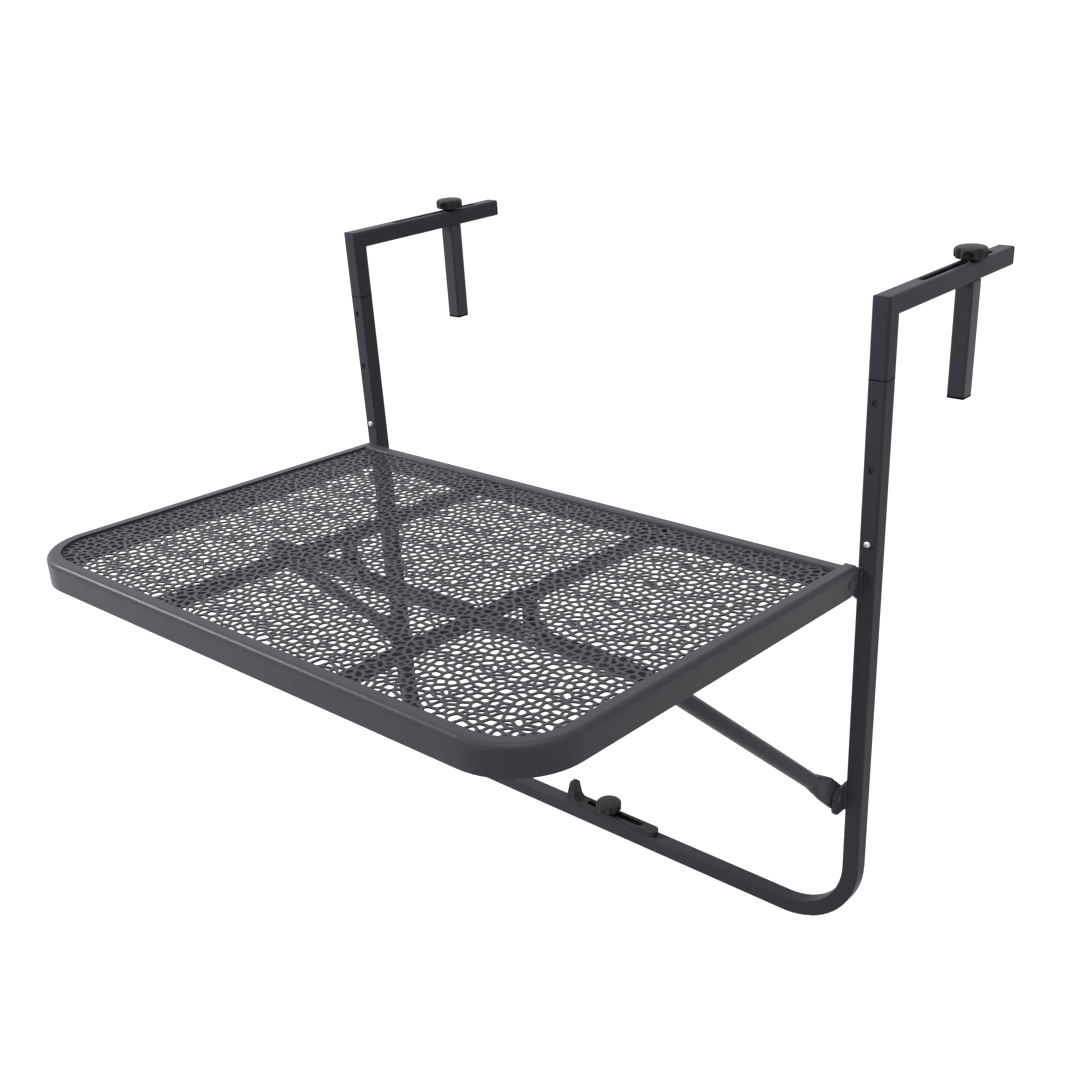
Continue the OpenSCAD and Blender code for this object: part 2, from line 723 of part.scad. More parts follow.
// The finger, as what its outlines from the front and from the side have in common
module foot_finger() {
    half_w = foot_w / 2;
    toe = finger_t + foot_t / 2;
    tip_z = finger_h - finger_tip / 2;
    round_z = finger_h - finger_round;
    intersection() {
        translate([0, half_w, 0]) rotate([90, 0, 0]) linear_extrude(foot_w) {
            polygon([[0, 0], [toe, 0], [toe, foot_t], [finger_t, finger_foot],
                [finger_lean + finger_tip, tip_z], [finger_lean, tip_z], [0, finger_foot]]);
            translate([finger_lean + finger_tip / 2, tip_z]) circle(d = finger_tip);
        }
        across(-over, toe + over) {
            polygon([[-half_w, -over], [half_w, -over], [half_w, foot_t], [finger_round, round_z],
                [-finger_round, round_z], [-half_w, foot_t]]);
            translate([0, round_z]) circle(finger_round);
        }
    }
}

// The foot plate, with a slot along it and a finger at one end that holds a baluster
module foot_plate() color(plastic) translate([foot_pos - foot_ahead, -tube / 2, foot_level]) {
    difference() {
        linear_extrude(foot_t) {
            translate([0, -foot_w / 2]) square([foot_len - foot_w / 2, foot_w]);
            translate([foot_len - foot_w / 2, 0]) circle(d = foot_w);
        }
        translate([foot_slot_start, 0, -over]) rotate([0, 0, -90])
            linear_extrude(foot_t + 2 * over) slot(foot_slot_w, foot_slot_len);
    }
    foot_finger();
}

module foot_knob() translate([foot_pos, -tube / 2, foot_level + foot_t + flange_t + 2 * slip])
    knob(foot_stud_d);

frame_tube();
hinge_lugs();
hinge_pins();
stay_lugs();
stay_pins();
foot_stud();
table_rim();
rear_rail();
pierced_panel();
cross_bar(-bar_spacing / 2);  // cross_bar_left
cross_bar(bar_spacing / 2);  // cross_bar_right
catch_brackets();
stay_clips();
support_stay();
mirror([1, 0, 0]) hook();  // hook_left
mirror([1, 0, 0]) insert();  // insert_left
mirror([1, 0, 0]) snap_spring();  // snap_spring_left
mirror([1, 0, 0]) arm_cap();  // arm_cap_left
mirror([1, 0, 0]) drop_tube();  // drop_tube_left
mirror([1, 0, 0]) drop_cap();  // drop_cap_left
mirror([1, 0, 0]) drop_stud();  // drop_stud_left
mirror([1, 0, 0]) arm_knob();  // knob_left
hook();  // hook_right
insert();  // insert_right
snap_spring();  // snap_spring_right
arm_cap();  // arm_cap_right
drop_tube();  // drop_tube_right
drop_cap();  // drop_cap_right
drop_stud();  // drop_stud_right
arm_knob();  // knob_right
foot_guide();
foot_plate();
foot_knob();
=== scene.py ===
# %% [markdown]
# # A folding balcony table
# This lesson dresses a folding table that hangs from a railing. The steel frame, the rim
# and the hooks come ready made from the CAD model. We add what a camera sees up close:
# the finely pierced sheet, the moulded knobs, the weld beads, the painted shadow in the
# seams and the finishes.

# %% Load the frame
import bpy
import json
import numpy as np
from mathutils import Matrix, Vector
from mathutils.geometry import delaunay_2d_cdt


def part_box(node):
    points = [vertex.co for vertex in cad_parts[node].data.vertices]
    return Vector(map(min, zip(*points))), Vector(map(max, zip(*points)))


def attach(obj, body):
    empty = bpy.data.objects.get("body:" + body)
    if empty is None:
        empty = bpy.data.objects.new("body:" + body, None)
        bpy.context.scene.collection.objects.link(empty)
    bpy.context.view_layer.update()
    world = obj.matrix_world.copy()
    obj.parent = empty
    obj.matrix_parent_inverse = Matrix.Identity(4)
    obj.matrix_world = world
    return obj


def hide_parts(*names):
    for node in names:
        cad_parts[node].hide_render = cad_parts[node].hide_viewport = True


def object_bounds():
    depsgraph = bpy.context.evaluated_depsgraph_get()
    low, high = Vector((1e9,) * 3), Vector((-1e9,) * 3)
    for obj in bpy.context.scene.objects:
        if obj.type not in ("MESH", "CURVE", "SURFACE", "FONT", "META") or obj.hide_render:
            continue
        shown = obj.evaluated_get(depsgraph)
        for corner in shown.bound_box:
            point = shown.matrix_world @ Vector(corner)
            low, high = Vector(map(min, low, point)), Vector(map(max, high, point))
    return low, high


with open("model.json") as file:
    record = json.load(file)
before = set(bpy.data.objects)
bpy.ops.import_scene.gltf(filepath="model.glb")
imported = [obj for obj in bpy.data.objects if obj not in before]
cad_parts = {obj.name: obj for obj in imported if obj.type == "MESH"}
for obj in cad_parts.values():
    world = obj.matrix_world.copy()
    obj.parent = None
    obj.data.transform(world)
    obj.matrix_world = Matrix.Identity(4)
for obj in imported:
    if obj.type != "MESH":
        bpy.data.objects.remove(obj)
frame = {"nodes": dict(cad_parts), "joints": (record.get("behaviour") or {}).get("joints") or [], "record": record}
cad_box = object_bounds()
nodes = frame["nodes"]
print("CAD nodes:", len(nodes), "box:", cad_box)

# %% [markdown]
# ## The camera
# A photograph can be matched by hand, but it is quicker to measure it. The place, the
# turn and the lens below were fitted to the corners of the table, so the render falls on
# the picture. The picture was cropped off centre, which the lens shift puts back.

# %% Camera
IMAGE_SIZE = 1068
SENSOR_MM = 36
FOCAL_PX = 1352.8
CENTRE_PX = (21.2, 120.0)
CAMERA_AT = Vector((0.7992, -0.9386, 0.2556))
CAMERA_YAW = 0.7448
CAMERA_PITCH = -0.4763
CAMERA_ROLL = -0.0603
VIEW_REACH = 500


def make_camera():
    """A camera that looks forwards along yaw and pitch and is then rolled about its own axis."""
    data = bpy.data.cameras.new("camera")
    data.sensor_width = SENSOR_MM
    data.lens = FOCAL_PX / IMAGE_SIZE * SENSOR_MM
    data.shift_x = -CENTRE_PX[0] / IMAGE_SIZE
    data.shift_y = CENTRE_PX[1] / IMAGE_SIZE
    data.clip_end = VIEW_REACH
    camera = bpy.data.objects.new("camera", data)
    bpy.context.scene.collection.objects.link(camera)
    level = Matrix.Rotation(np.pi / 2, 4, "X")
    turn = Matrix.Rotation(CAMERA_YAW, 4, "Z") @ Matrix.Rotation(CAMERA_PITCH, 4, "X")
    roll = Matrix.Rotation(CAMERA_ROLL, 4, "Z")
    camera.matrix_world = Matrix.Translation(CAMERA_AT) @ turn @ level @ roll
    return camera


bpy.context.scene.camera = make_camera()
print("lens:", round(bpy.context.scene.camera.data.lens, 2), "mm")

# %% [markdown]
# ## Where the table top is
# The table top leans back a little from its hinge. Its own pieces are easiest to draw in
# its own frame: x to the right, y from the rear ends of the side rails, negative towards
# the front, and z up from the top of the rim. One matrix then takes them to their place.

# %% The table's own frame
TABLE_LEAN = np.radians(2.3)
HINGE_TAIL = 0.010
HINGE_DROP = 0.013

joints = {joint["name"]: joint for joint in frame["joints"]}
hinge_at = Vector(joints["table_fold"]["pos_m"])
table_place = (
    Matrix.Translation(hinge_at)
    @ Matrix.Rotation(-TABLE_LEAN, 4, "X")
    @ Matrix.Translation((0, HINGE_TAIL, HINGE_DROP))
)
print("table hinge at", tuple(round(value, 4) for value in hinge_at))

# %% [markdown]
# ## Sizes from the CAD model
# The new pieces have to fit the pieces that come ready made. Their sizes could be typed in
# again, but a change in the CAD model would then leave them behind. So we read where the
# CAD boxes end, and round away the dust of the conversion.

# %% Ends of the CAD boxes
LOW, HIGH = 0, 1


def cad_end(node, end, axis):
    """Where a node's CAD box ends, LOW or HIGH along x, y or z, to a hundredth of a millimetre."""
    return round(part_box(node)[end]["xyz".index(axis)], 5)


print("the frame tube ends at x =", cad_end("frame_tube", HIGH, "x"))

# %% [markdown]
# ## Surfaces from grids
# Every new piece is a list of points and a list of faces. A turned or drawn-out shape is
# a grid of points that is closed around, so one function can join up the rows, and one
# can close the two ends with a fan of triangles.

# %% Meshes from points


def placed(points, place):
    """Every point turned and moved by a matrix: the turn times the point, plus the move."""
    turn = np.array(place.to_3x3())
    return points @ turn.T + np.array(place.to_translation())


def make_mesh(name, points, faces, smooth=False):
    """An object at the origin with these points and faces; faces is an array or a list of arrays."""
    mesh = bpy.data.meshes.new(name)
    rings = [faces] if isinstance(faces, np.ndarray) else faces
    mesh.from_pydata(points.tolist(), [], [face for ring in rings for face in ring.tolist()])
    mesh.polygons.foreach_set("use_smooth", np.full(len(mesh.polygons), smooth))
    mesh.update()
    piece = bpy.data.objects.new(name, mesh)
    bpy.context.scene.collection.objects.link(piece)
    return piece


def grid_faces(rows, columns):
    """Quads between the rows of a grid that is closed around."""
    i, j = np.meshgrid(np.arange(rows - 1), np.arange(columns), indexing="ij")
    k = (j + 1) % columns
    quads = [i * columns + j, i * columns + k, (i + 1) * columns + k, (i + 1) * columns + j]
    return np.stack(quads, axis=-1).reshape(-1, 4)


def closed_ends(grid, start, end):
    """Points and faces of a grid closed around, with a fan of triangles to a point at each end."""
    rows, columns = grid.shape[:2]
    points = np.concatenate([grid.reshape(-1, 3), [start, end]])
    here = np.arange(columns)
    there = (here + 1) % columns
    last = (rows - 1) * columns
    fans = [
        np.stack([there, here, np.full(columns, len(points) - 2)], axis=1),
        np.stack([here + last, there + last, np.full(columns, len(points) - 1)], axis=1),
    ]
    return points, [grid_faces(rows, columns), *fans]


print("mesh tools:", placed.__name__, make_mesh.__name__, grid_faces.__name__, closed_ends.__name__)

# %% [markdown]
# ## The pierced sheet
# The top is a steel sheet pierced with several thousand small pebble-shaped holes. It
# could be faked with a transparent picture, but then the webs have no thickness and the
# underside is wrong. Here each hole is a real cell: the points nearer to its own seed
# than to any other, drawn in by half a web and rounded at the corners. The seeds stray
# from a staggered grid in a block that repeats, as the marks of a punching tool do, and
# slow waves bend the rows, so that the cells slant both ways.

# %% Seeds of the pattern
CELL_PITCH = np.array([0.0076, 0.0081])
BLOCK = (9, 6)
CELL_STRAY = 0.41
STRAY_SEED = 5
SWAY = 0.0016
SWAY_LENGTH = np.array([0.029, 0.025])
SPARE_ROWS = 3
REAR_ROWS = 2
PANEL_HALF = cad_end("pierced_panel", HIGH, "x")
PANEL_FRONT = -0.3973


def pattern_seeds():
    """A grid of seeds, every second row shifted by half a pitch, plus strays that repeat."""
    stray = np.random.default_rng(STRAY_SEED).uniform(-CELL_STRAY, CELL_STRAY, (*BLOCK, 2))
    columns = int(PANEL_HALF / CELL_PITCH[0]) + SPARE_ROWS
    rows = int(-PANEL_FRONT / CELL_PITCH[1]) + SPARE_ROWS
    i, j = np.meshgrid(np.arange(-columns, columns + 1), np.arange(-rows, REAR_ROWS), indexing="ij")
    shift = np.stack([j % 2 / 2, np.zeros(j.shape)], axis=-1)
    return (np.stack([i, j], axis=-1) + shift + stray[i % BLOCK[0], j % BLOCK[1]]) * CELL_PITCH


def swayed(seeds):
    """Seeds moved along slow waves: x by sway * sin(2 pi y / length), and y by x in the same way."""
    turn = 2 * np.pi * seeds / SWAY_LENGTH
    return seeds + SWAY * np.stack([np.sin(turn[..., 1]), np.sin(turn[..., 0])], axis=-1)


seeds = swayed(pattern_seeds())
print("seeds on the grid:", seeds.shape[0] * seeds.shape[1])

# %% [markdown]
# ## Seeds along the edge
# Where the edge of the sheet cuts through the pattern, cells would be sliced into slivers.
# A plain cut-off would leave them in. So seeds that fall just outside are drawn back to
# the edge, where they make whole cells, and the ones further out are dropped.

# %% Seeds inside the sheet
SEED_INSIDE = 0.0022
LONGEST_PULL = 0.45 * CELL_PITCH.min()
PANEL_REAR = -0.0162
PANEL_CORNER = 0.0453
TINY = 1e-9


def drawn_inside(seeds, margin):
    """Seeds just outside the sheet come back to its edge; seeds further out are dropped."""
    low = np.array([-PANEL_HALF, PANEL_FRONT]) + margin
    high = np.array([PANEL_HALF, PANEL_REAR]) - margin
    moved = np.clip(seeds, low, high)
    hub = np.array([PANEL_HALF - PANEL_CORNER, PANEL_FRONT + PANEL_CORNER])
    side = np.sign(moved[..., :1])
    out = np.concatenate([np.abs(moved[..., :1]) - hub[0], moved[..., 1:] - hub[1]], axis=-1)
    length = np.linalg.norm(out, axis=-1, keepdims=True)
    in_corner = (out[..., :1] > 0) & (out[..., 1:] < 0) & (length > PANEL_CORNER - margin)
    pulled = hub + out / np.maximum(length, TINY) * (PANEL_CORNER - margin)
    pulled[..., :1] *= side
    moved = np.where(in_corner, pulled, moved)
    kept = np.linalg.norm(moved - seeds, axis=-1) < LONGEST_PULL
    return moved, kept


seeds, kept = drawn_inside(seeds, SEED_INSIDE)
print("cells:", int(kept.sum()))

# %% [markdown]
# ## From seeds to cells
# Seen from its seed, a cell's edge in the direction a is at the distance c / cos(a - b),
# for a border line at the distance c in the direction b. The nearest of all the lines is
# the edge, and where the nearest line changes, there is a corner.

# %% Lines around the seeds
WEB = 0.0023
BORDER = 0.0008
REACH = 2
LEAST_REACH = 0.0003
FAR = 1.0


def border_lines(points):
    """Direction and distance of the sheet's four edges and of its rounded corner, per seed."""
    x, y = points.T
    hub_x = np.sign(x) * (PANEL_HALF - PANEL_CORNER)
    hub_y = PANEL_FRONT + PANEL_CORNER
    out = np.arctan2(y - hub_y, x - hub_x)
    in_corner = (np.abs(x) > np.abs(hub_x)) & (y < hub_y)
    to_arc = PANEL_CORNER - BORDER - np.hypot(x - hub_x, y - hub_y)
    straight = np.broadcast_to([0, np.pi, np.pi / 2, -np.pi / 2], (len(points), 4))
    edges = [PANEL_HALF - x, PANEL_HALF + x, PANEL_REAR - y, y - PANEL_FRONT]
    distances = [edge - BORDER for edge in edges] + [np.where(in_corner, to_arc, FAR)]
    return np.column_stack([straight, out]), np.stack(distances, axis=1)


def neighbour_lines(seeds, kept):
    """Direction and distance of the line halfway to each seed near by, less half a web."""
    columns, rows = kept.shape
    i, j = np.nonzero(kept)
    own = seeds[i, j]
    angles, distances = [], []
    for u, v in np.ndindex(2 * REACH + 1, 2 * REACH + 1):
        if u == REACH and v == REACH:
            continue
        a = np.clip(i + u - REACH, 0, columns - 1)
        b = np.clip(j + v - REACH, 0, rows - 1)
        step = seeds[a, b] - own
        gap = np.hypot(step[:, 0], step[:, 1])
        there = kept[a, b] & (gap > 0)
        angles.append(np.arctan2(step[:, 1], step[:, 0]))
        distances.append(np.where(there, np.maximum(gap / 2 - WEB / 2, LEAST_REACH), FAR))
    return own, np.stack(angles, axis=1), np.stack(distances, axis=1)


print("lines round a cell:", (2 * REACH + 1) ** 2 - 1, "to its neighbours and 5 to the border")

# %% Corners of the cells
DIRECTIONS = 360
LEAST_FACING = 1e-3


def cell_corners(seeds, kept):
    """The corners of all the cells in order, with the number of the cell each belongs to."""
    own, angles, distances = neighbour_lines(seeds, kept)
    border_angles, border_distances = border_lines(own)
    angles = np.concatenate([angles, border_angles], axis=1)
    distances = np.concatenate([distances, border_distances], axis=1)
    nearest = np.zeros((len(own), DIRECTIONS), int)
    for k, direction in enumerate(np.linspace(0, 2 * np.pi, DIRECTIONS, endpoint=False)):
        facing = np.cos(direction - angles)
        ahead = distances / np.maximum(facing, LEAST_FACING)
        nearest[:, k] = np.where(facing > LEAST_FACING, ahead, FAR).argmin(axis=1)
    before = np.roll(nearest, 1, axis=1)
    cell, k = np.nonzero(nearest != before)
    one, two = before[cell, k], nearest[cell, k]
    a1, a2 = angles[cell, one], angles[cell, two]
    d1, d2 = distances[cell, one], distances[cell, two]
    turn = np.sin(a2 - a1)
    x = (d1 * np.sin(a2) - d2 * np.sin(a1)) / turn
    y = (d2 * np.cos(a1) - d1 * np.cos(a2)) / turn
    return own[cell] + np.stack([x, y], axis=1), cell


corners, cell = cell_corners(seeds, kept)
print("corners:", len(corners))

# %% [markdown]
# ## Rounded holes
# The real holes look like pebbles, without a sharp corner. Arcs in all the corners would
# multiply the triangles. Each corner is cut off once instead, which looks round enough at
# the size of the holes, and edges too short to be seen are left out.

# %% Cut corners
CORNER_CUT = 0.0009
CORNER_SHARE = 0.32
SHORTEST_EDGE = 0.0007
SHORTEST_CUT = 0.0002


def next_in_cell(cell):
    """For points listed cell by cell, the places of the next and the previous point of the cell."""
    count = len(cell)
    first = np.searchsorted(cell, cell)
    last = np.searchsorted(cell, cell, side="right") - 1
    here = np.arange(count)
    return np.where(here == last, first, here + 1), np.where(here == first, last, here - 1)


def eased(points, cell):
    """Each corner gives way to two points, a little along the edges on its two sides."""
    after, before = next_in_cell(cell)
    result = np.empty((len(points), 2, 2))
    for k, other in enumerate((before, after)):
        edge = points[other] - points
        length = np.linalg.norm(edge, axis=1, keepdims=True)
        share = np.minimum(CORNER_CUT / np.maximum(length, TINY), CORNER_SHARE)
        result[:, k] = points + edge * share
    return result.reshape(-1, 2), np.repeat(cell, 2)


def without_short_edges(points, cell, shortest):
    """Leaves out the points that lie closer than this to the next point of their cell."""
    after, _ = next_in_cell(cell)
    keep = np.linalg.norm(points[after] - points, axis=1) > shortest
    return points[keep], cell[keep]


corners, cell = without_short_edges(corners, cell, SHORTEST_EDGE)
outline_points, cell = without_short_edges(*eased(corners, cell), SHORTEST_CUT)
print("corners left:", len(corners), "points round the holes:", len(outline_points))

# %% [markdown]
# ## From cells to a sheet
# A Delaunay triangulation that keeps the holes' edges fills the webs with triangles. The
# triangles that have all three corners on one hole lie inside it and are left out. The
# same triangles, turned over, make the underside, and short walls join the two.

# %% Edge of the sheet
ARC_STEPS = 24


def sheet_outline():
    """The sheet's edge: straight at the rear, a quarter circle at each front corner."""
    turn = np.linspace(0, np.pi / 2, ARC_STEPS)
    arc = PANEL_CORNER * np.stack([1 - np.sin(turn), 1 - np.cos(turn)], axis=1)
    left = arc[::-1] + [-PANEL_HALF, PANEL_FRONT]
    right = arc * [-1, 1] + [PANEL_HALF, PANEL_FRONT]
    return np.concatenate([[[-PANEL_HALF, PANEL_REAR]], left, right, [[PANEL_HALF, PANEL_REAR]]])


sheet_edge = sheet_outline()
print("points round the sheet:", len(sheet_edge))

# %% Triangles of the webs
TRIANGLES_INSIDE = 1
SAME_POINT = 1e-7


def ring_edges(count, start):
    """Edges that join points one to the next and the last to the first."""
    here = np.arange(count)
    return np.stack([here, (here + 1) % count], axis=1) + start


def web_triangles(outline):
    """Points of the webs, and triangles that face up and fill everything but the holes."""
    flat = np.concatenate([outline, outline_points])
    owner = np.concatenate([np.full(len(outline), -1), cell])
    after, _ = next_in_cell(cell)
    holes = np.stack([np.arange(len(cell)), after], axis=1) + len(outline)
    edges = np.concatenate([ring_edges(len(outline), 0), holes])
    corners_2d = [Vector(point) for point in flat]
    result = delaunay_2d_cdt(corners_2d, edges.tolist(), [], TRIANGLES_INSIDE, SAME_POINT)
    filled, _, triangles, *_ = result
    points = np.array([tuple(point) for point in filled])
    if len(points) != len(flat):
        print("the triangulation changed the points:", len(points), len(flat))
    triangles = np.array(triangles)
    on = owner[triangles]
    in_hole = (on[:, 0] == on[:, 1]) & (on[:, 1] == on[:, 2]) & (on[:, 0] >= 0)
    top = triangles[~in_hole]
    a, b, c = points[top.T]
    area = (b - a)[:, 0] * (c - a)[:, 1] - (b - a)[:, 1] * (c - a)[:, 0]
    top[area < 0] = top[area < 0][:, ::-1]
    return points, top


web_points, web_top = web_triangles(sheet_edge)
print("triangles on the top:", len(web_top))

# %% The sheet
PANEL_TOP = -0.0020
PANEL_THICK = 0.0012


def edge_walls(top, count):
    """Two triangles down from each edge that only one triangle of the top has."""
    directed = np.concatenate([top[:, [0, 1]], top[:, [1, 2]], top[:, [2, 0]]])
    key = directed[:, 0] * count + directed[:, 1]
    back = directed[:, 1] * count + directed[:, 0]
    rim = directed[~np.isin(key, back)]
    return np.concatenate([
        np.stack([rim[:, 1], rim[:, 0], rim[:, 0] + count], axis=1),
        np.stack([rim[:, 1], rim[:, 0] + count, rim[:, 1] + count], axis=1),
    ])


def pierced_sheet(name, points, top):
    """The webs between the holes, with a top, an underside and walls."""
    count = len(points)
    faces = np.concatenate([top, top[:, ::-1] + count, edge_walls(top, count)])
    upper = np.column_stack([points, np.full(count, PANEL_TOP)])
    lower = np.column_stack([points, np.full(count, PANEL_TOP - PANEL_THICK)])
    return make_mesh(name, placed(np.concatenate([upper, lower]), table_place), faces)


sheet = pierced_sheet("pierced_sheet", web_points, web_top)
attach(sheet, "table")
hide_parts("pierced_panel")
print("sheet:", len(sheet.data.polygons), "triangles")

# %% [markdown]
# ## The knobs
# Each knob is one plastic moulding: a short neck, a flaring underside, a side with
# finger hollows and a low dome. It could be cut from a turned shape with cylinders, but
# the arched tops of the hollows are then hard to blend. Instead the radius is a formula
# of height and direction: the turned profile, or the hollow's wall where that is nearer.

# %% Profile of a knob
KNOB_R = 0.014
KNOB_HEIGHT = 0.012
NECK_R = 0.0062
NECK_ROUND = 0.0003
NECK_HEIGHTS = (0, 0.0002, 0.0004)
FLARE = [(0.0085, 0.0008), (0.0110, 0.0014), (0.0128, 0.0019), (0.0137, 0.0024)]
BRIM_TOP = 0.0030
SIDE_STEP = 0.0005
BROW_START = 0.0078
BROW_R = 0.0042
BROW_RISE = 0.0032
BROW_POINTS = 9
CROWN_R = KNOB_R - BROW_R
CROWN_POINTS = 9


def knob_profile():
    """Radius and height from the middle of the foot, up the neck, round the brim, over the dome."""
    low, middle, top = NECK_HEIGHTS
    neck = [(0, low), (NECK_R - NECK_ROUND, low), (NECK_R, middle), (NECK_R, top)]
    side = [(KNOB_R, height) for height in np.arange(BRIM_TOP, BROW_START, SIDE_STEP)]
    turn = np.linspace(0, np.pi / 2, BROW_POINTS)
    brow = np.stack([CROWN_R + BROW_R * np.cos(turn), BROW_START + BROW_RISE * np.sin(turn)], axis=1)
    spread = np.linspace(CROWN_R, 0, CROWN_POINTS)[1:]
    drop = KNOB_HEIGHT - BROW_START - BROW_RISE
    crown = np.stack([spread, KNOB_HEIGHT - drop * (spread / CROWN_R) ** 2], axis=1)
    return np.concatenate([neck, FLARE, side, brow, crown])


knob_side = knob_profile()
print("points on the knob's profile:", len(knob_side))

# %% Finger hollows
HOLLOWS = 5
STEPS_PER_HOLLOW = 40
HOLLOW_R = 0.0045
HOLLOW_OUT = 0.0150
HOLLOW_TOP = 0.0042
BLEND = 0.00035


def smooth_least(a, b, width):
    """The smaller of two values, with a soft change from one to the other."""
    near = np.clip(0.5 + (b - a) / (2 * width), 0, 1)
    return b + (a - b) * near - width * near * (1 - near)


def knob_surface(profile, around):
    """Radius at a height and direction: the profile, or the near wall of a round hollow.

    A hollow is an upright cylinder with a ball for its top. Its near wall is at the
    distance out * cos(a) - sqrt(r^2 - (out * sin(a))^2) from the knob's axis.
    """
    radius, height = profile[:, :1], profile[:, 1:]
    off = (around * HOLLOWS / (2 * np.pi) + 0.5) % 1 - 0.5
    off = off * 2 * np.pi / HOLLOWS
    rise = np.maximum(height - HOLLOW_TOP, 0)
    own = HOLLOW_R**2 - rise**2 - (HOLLOW_OUT * np.sin(off)) ** 2
    wall = np.where(own > 0, HOLLOW_OUT * np.cos(off) - np.sqrt(np.maximum(own, 0)), FAR)
    wall = np.minimum(wall, HOLLOW_OUT * np.cos(off))
    cut = smooth_least(radius, wall, BLEND)
    reach = np.where(radius > NECK_R, np.minimum(cut, radius), radius)
    heights = np.broadcast_to(height, reach.shape)
    return np.stack([reach * np.cos(around), reach * np.sin(around), heights], axis=-1)


directions = np.linspace(0, 2 * np.pi, HOLLOWS * STEPS_PER_HOLLOW, endpoint=False)
knob_grid = knob_surface(knob_side, directions)
print("points on a knob:", knob_grid.shape[0], "by", knob_grid.shape[1])

# %% The three knobs


def make_knob(name, node, body):
    """A knob in place of a CAD knob: on the middle of its box, standing on its bottom."""
    low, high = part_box(node)
    middle = [(low.x + high.x) / 2, (low.y + high.y) / 2, low.z]
    points, faces = closed_ends(knob_grid[1:-1], knob_grid[0, 0], knob_grid[-1, 0])
    piece = make_mesh(name, points + middle, faces, smooth=True)
    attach(piece, body)
    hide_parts(node)
    return piece


knobs = [
    make_knob("knob_moulding_left", "knob_left", "knob_left"),
    make_knob("knob_moulding_right", "knob_right", "knob_right"),
    make_knob("knob_moulding_foot", "foot_knob", "foot_knob"),
]
print("knobs:", [knob.name for knob in knobs])

# %% [markdown]
# ## The weld beads
# Lugs, rails and bars are welded on, and under the powder coat each weld stays as a low
# bead in the corner. A bead could be painted on as a bump, but it also rounds the dark
# corner it sits in. So each one is a thin ripple-edged rod along a path, half sunk in.

# %% A bead along a path
BEAD_STEP = 0.0004
FEWEST_STEPS = 4
BEAD_SIDES = 10
RIPPLE_PITCH = 0.0016
RIPPLE = 0.10
TIP = 0.02


def stepped(path):
    """Points at equal steps along a path of straight lines."""
    path = np.array(path, float)
    length = np.concatenate([[0], np.cumsum(np.linalg.norm(np.diff(path, axis=0), axis=1))])
    count = max(int(length[-1] / BEAD_STEP), FEWEST_STEPS)
    along = np.linspace(0, length[-1], count)
    return np.stack([np.interp(along, length, path[:, k]) for k in range(3)], axis=1), along


def bead_surface(path, radius):
    """A rod of radius r * (1 + ripple * sin(2 pi s / pitch)) that rounds off at both ends."""
    points, along = stepped(path)
    tangent = np.gradient(points, axis=0)
    tangent /= np.linalg.norm(tangent, axis=1, keepdims=True)
    side = np.cross(tangent, np.ones(3))
    side /= np.linalg.norm(side, axis=1, keepdims=True)
    up = np.cross(tangent, side)
    to_end = np.clip(np.minimum(along, along[-1] - along) / radius, TIP, 1)
    rounding = np.sqrt(1 - (1 - to_end) ** 2)
    reach = radius * rounding * (1 + RIPPLE * np.sin(2 * np.pi * along / RIPPLE_PITCH))
    around = np.linspace(0, 2 * np.pi, BEAD_SIDES, endpoint=False)
    ring = np.cos(around)[None, :, None] * side[:, None] + np.sin(around)[None, :, None] * up[:, None]
    grid = points[:, None] + reach[:, None, None] * ring
    return closed_ends(grid, points[0], points[-1])


print("points on 10 mm of path:", len(stepped([(0, 0, 0), (0.010, 0, 0)])[1]))

# %% Beads of one body
BEAD_R = 0.0013


def make_beads(name, body, paths, radius=BEAD_R, place=None):
    """All the beads of one body as one piece."""
    points, faces, start = [], [], 0
    for path in paths:
        own, rings = bead_surface(path, radius)
        points.append(own)
        faces += [ring + start for ring in rings]
        start += len(own)
    points = np.concatenate(points)
    piece = make_mesh(name, points if place is None else placed(points, place), faces, smooth=True)
    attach(piece, body)
    print(name, "of", len(paths), "beads:", len(piece.data.polygons), "faces")
    return piece


def both_sides(paths):
    """The paths and their mirror images on the left side."""
    return paths + [[(-x, y, z) for x, y, z in path] for path in paths]


print("bead radius:", BEAD_R, "m")

# %% [markdown]
# ## Beads on the frame
# The lugs that carry the table stand on the fronts of the posts, and the lugs that carry
# the stay lie on their inner sides. The paths follow the lugs' edges. Their x comes from
# the CAD boxes and their heights from the hinges, so the beads stay in the corners.

# %% Frame beads
TUBE = -cad_end("frame_tube", LOW, "y")
HINGE_LUG_THICK = 0.003
HINGE_LUG_UP = 0.008
HINGE_LUG_DOWN = 0.022
STAY_LUG_UP = 0.009
STAY_LUG_DOWN = 0.017

stay_at = Vector(joints["stay_swing"]["pos_m"])


def hinge_lug_beads():
    """A bead down the inner side of a hinge lug, and one round its other three sides."""
    outer = cad_end("hinge_lugs", HIGH, "x")
    inner = outer - HINGE_LUG_THICK
    top = hinge_at.z + HINGE_LUG_UP
    low = hinge_at.z - HINGE_LUG_DOWN
    return [
        [(inner, -TUBE, top), (inner, -TUBE, low)],
        [(inner, -TUBE, low), (outer, -TUBE, low), (outer, -TUBE, top), (inner, -TUBE, top)],
    ]


def stay_lug_beads():
    """A bead round the rear of a stay lug and one down the post's front edge."""
    x = cad_end("stay_lugs", HIGH, "x")
    top = stay_at.z + STAY_LUG_UP
    low = stay_at.z - STAY_LUG_DOWN
    return [
        [(x, -TUBE, top), (x, -TUBE / 2, top), (x, -TUBE / 2, low), (x, -TUBE, low)],
        [(x, -TUBE, top), (x, -TUBE, low)],
    ]


frame_beads = make_beads("frame_weld_beads", "frame", both_sides(hinge_lug_beads() + stay_lug_beads()))

